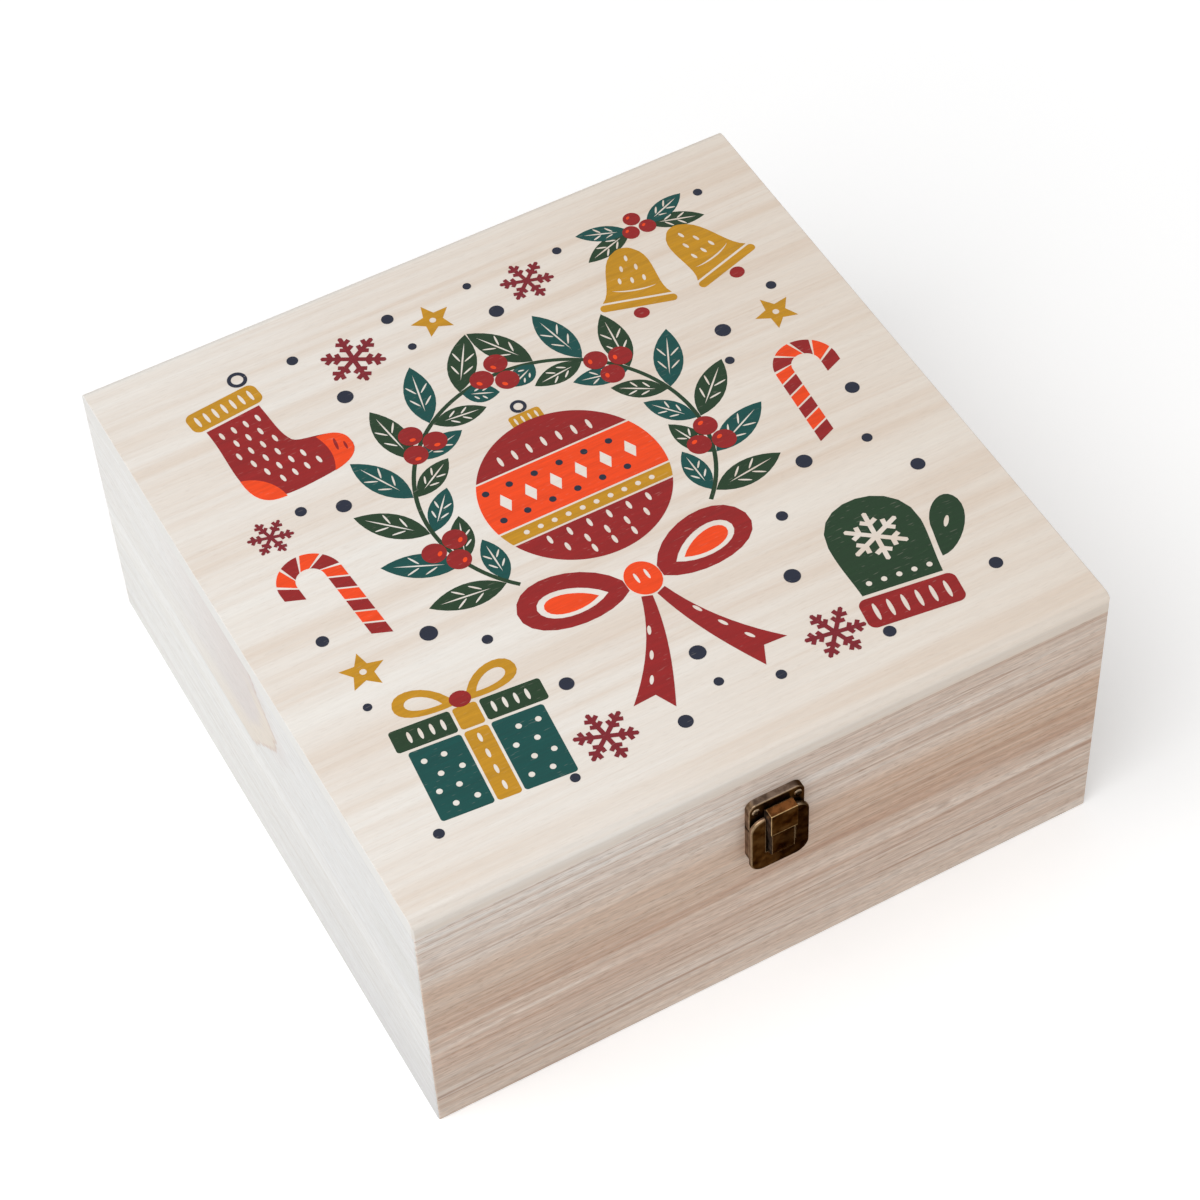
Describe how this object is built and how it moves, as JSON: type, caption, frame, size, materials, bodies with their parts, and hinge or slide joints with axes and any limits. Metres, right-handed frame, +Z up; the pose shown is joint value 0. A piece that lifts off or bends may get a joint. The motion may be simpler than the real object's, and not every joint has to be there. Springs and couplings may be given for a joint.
{
  "type": "keepsake box",
  "caption": "Square wooden keepsake box with a hinged lid, a drop-flap clasp on the front and a printed lid top.",
  "frame": {"origin": "middle of the underside", "axes": "+X to the box's right seen from the front, -Y the front with the clasp, +Z up"},
  "size_m": [0.3, 0.3138, 0.1365],
  "materials": {
    "wood_side": "bare sanded pale wood, straight level grain",
    "wood_top": "bare sanded pale wood with flat printed ink",
    "wood_bottom": "bare sanded pale wood",
    "bronze": "antique bronze plating, dark with rubbed edges"
  },
  "bodies": {
    "base": {"base_front_board": "wood_side", "base_back_board": "wood_side", "base_left_board": "wood_side", "base_right_board": "wood_side", "bottom_panel": "wood_bottom", "keeper_plate": "bronze", "keeper_nails": "bronze", "hinge_left_base_leaf": "bronze", "hinge_left_base_nails": "bronze", "hinge_left_pin": "bronze", "hinge_right_base_leaf": "bronze", "hinge_right_base_nails": "bronze", "hinge_right_pin": "bronze"},
    "lid": {"lid_top_panel": "wood_top", "lid_front_rail": "wood_side", "lid_back_rail": "wood_side", "lid_left_rail": "wood_side", "lid_right_rail": "wood_side", "hasp_plate": "bronze", "hasp_nails": "bronze", "hasp_pin": "bronze", "hinge_left_lid_leaf": "bronze", "hinge_left_lid_nails": "bronze", "hinge_right_lid_leaf": "bronze", "hinge_right_lid_nails": "bronze"},
    "flap": {"hasp_flap": "bronze", "hasp_cap": "bronze"}
  },
  "joints": [
    {"name": "lid_hinge", "type": "hinge", "parent": "base", "child": "lid", "pos_m": [0, 0.1525, 0.1], "axis": [-1, 0, 0], "range_deg": [0, 180]},
    {"name": "flap_hinge", "type": "hinge", "parent": "lid", "child": "flap", "pos_m": [0, -0.1564, 0.1095], "axis": [-1, 0, 0], "range_deg": [0, 90]}
  ]
}
